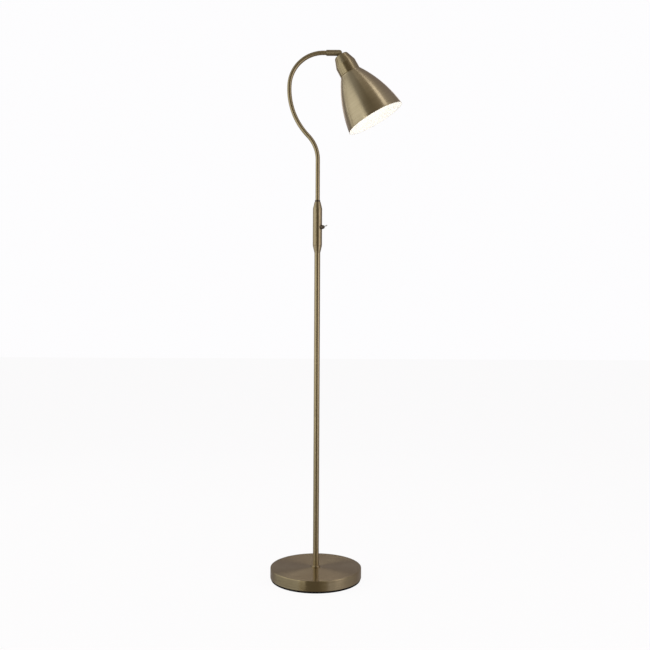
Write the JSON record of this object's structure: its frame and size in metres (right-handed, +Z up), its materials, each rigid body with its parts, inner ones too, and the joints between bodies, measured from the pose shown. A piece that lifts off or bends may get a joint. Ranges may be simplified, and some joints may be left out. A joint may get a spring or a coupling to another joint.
{
  "type": "pharmacy floor lamp",
  "caption": "Floor lamp with a round weighted foot, slim two-part pole, switch sleeve, swivelling crook arm and a tilting bell shade on a turning knuckle.",
  "frame": {"origin": "centre of the foot's underside, where the pole's axis meets the floor", "axes": "+Z up along the pole, +X the way the arm reaches at rest, +Y to the back, where the lead leaves the foot"},
  "size_m": [0.3554, 0.2523, 1.4578],
  "materials": {
    "plated_steel": "brushed antique brass plate on steel sheet and tube",
    "turned_brass": "turned and brushed antique brass",
    "dark_bronze": "dark bronze, satin",
    "cast_iron": "rough casting",
    "zinc_steel": "zinc plated",
    "black_foam": "matt closed-cell foam",
    "black_plastic": "moulded",
    "nylon": "natural nylon",
    "bright_chrome": "bright nickel plate",
    "bare_brass": "bare brass",
    "holder_plastic": "white moulded lampholder",
    "cap_aluminium": "pressed screw cap",
    "opal_glass": "opal",
    "white_enamel": "white coat inside the shade"
  },
  "bodies": {
    "stand": {"base_cover": "plated_steel", "base_weight": "cast_iron", "base_plate": "zinc_steel", "base_pad": "black_foam", "cable_bush": "black_plastic", "pole_collar": "turned_brass", "base_stud": "zinc_steel", "base_washer": "zinc_steel", "base_nut": "zinc_steel", "pole_foot": "zinc_steel", "lower_pole": "plated_steel", "pole_joiner": "turned_brass", "upper_pole": "plated_steel", "sleeve_cone": "turned_brass", "switch_sleeve": "plated_steel", "switch_body": "black_plastic", "switch_terminals": "bare_brass", "switch_bushing": "bright_chrome", "switch_nut": "dark_bronze", "swivel_bush": "dark_bronze", "swivel_nut": "zinc_steel"},
    "arm": {"arm_tube": "plated_steel", "arm_shoulder": "dark_bronze", "arm_stop": "zinc_steel", "swivel_washer": "nylon", "arm_plug": "zinc_steel", "knuckle_clip": "zinc_steel"},
    "knuckle": {"knuckle_barrel": "turned_brass", "tilt_screw": "zinc_steel", "tilt_washers": "nylon"},
    "head": {"tongue": "zinc_steel", "neck_nut": "zinc_steel", "neck_cap": "plated_steel", "lampholder": "holder_plastic", "holder_shell": "bare_brass", "holder_contact": "bare_brass", "shade_ring": "holder_plastic", "shade": "plated_steel", "bulb_cap": "cap_aluminium", "bulb_glass": "opal_glass"},
    "toggle": {"toggle_lever": "bright_chrome"}
  },
  "joints": [
    {"name": "arm_swivel", "type": "hinge", "parent": "stand", "child": "arm", "pos_m": [0, 0, 1.038], "axis": [0, 0, 1], "range_deg": [-160, 160]},
    {"name": "knuckle_turn", "type": "hinge", "parent": "arm", "child": "knuckle", "pos_m": [0.03, 0, 1.4498], "axis": [1, 0, 0], "range_deg": [-90, 90]},
    {"name": "head_tilt", "type": "hinge", "parent": "knuckle", "child": "head", "pos_m": [0.058, 0, 1.4498], "axis": [0, -1, 0], "range_deg": [-29.15, 60.85]},
    {"name": "switch_flip", "type": "hinge", "parent": "stand", "child": "toggle", "pos_m": [0.01393, -0.00975, 0.968], "axis": [0.5736, 0.8192, 0], "range_deg": [0, 28]}
  ]
}
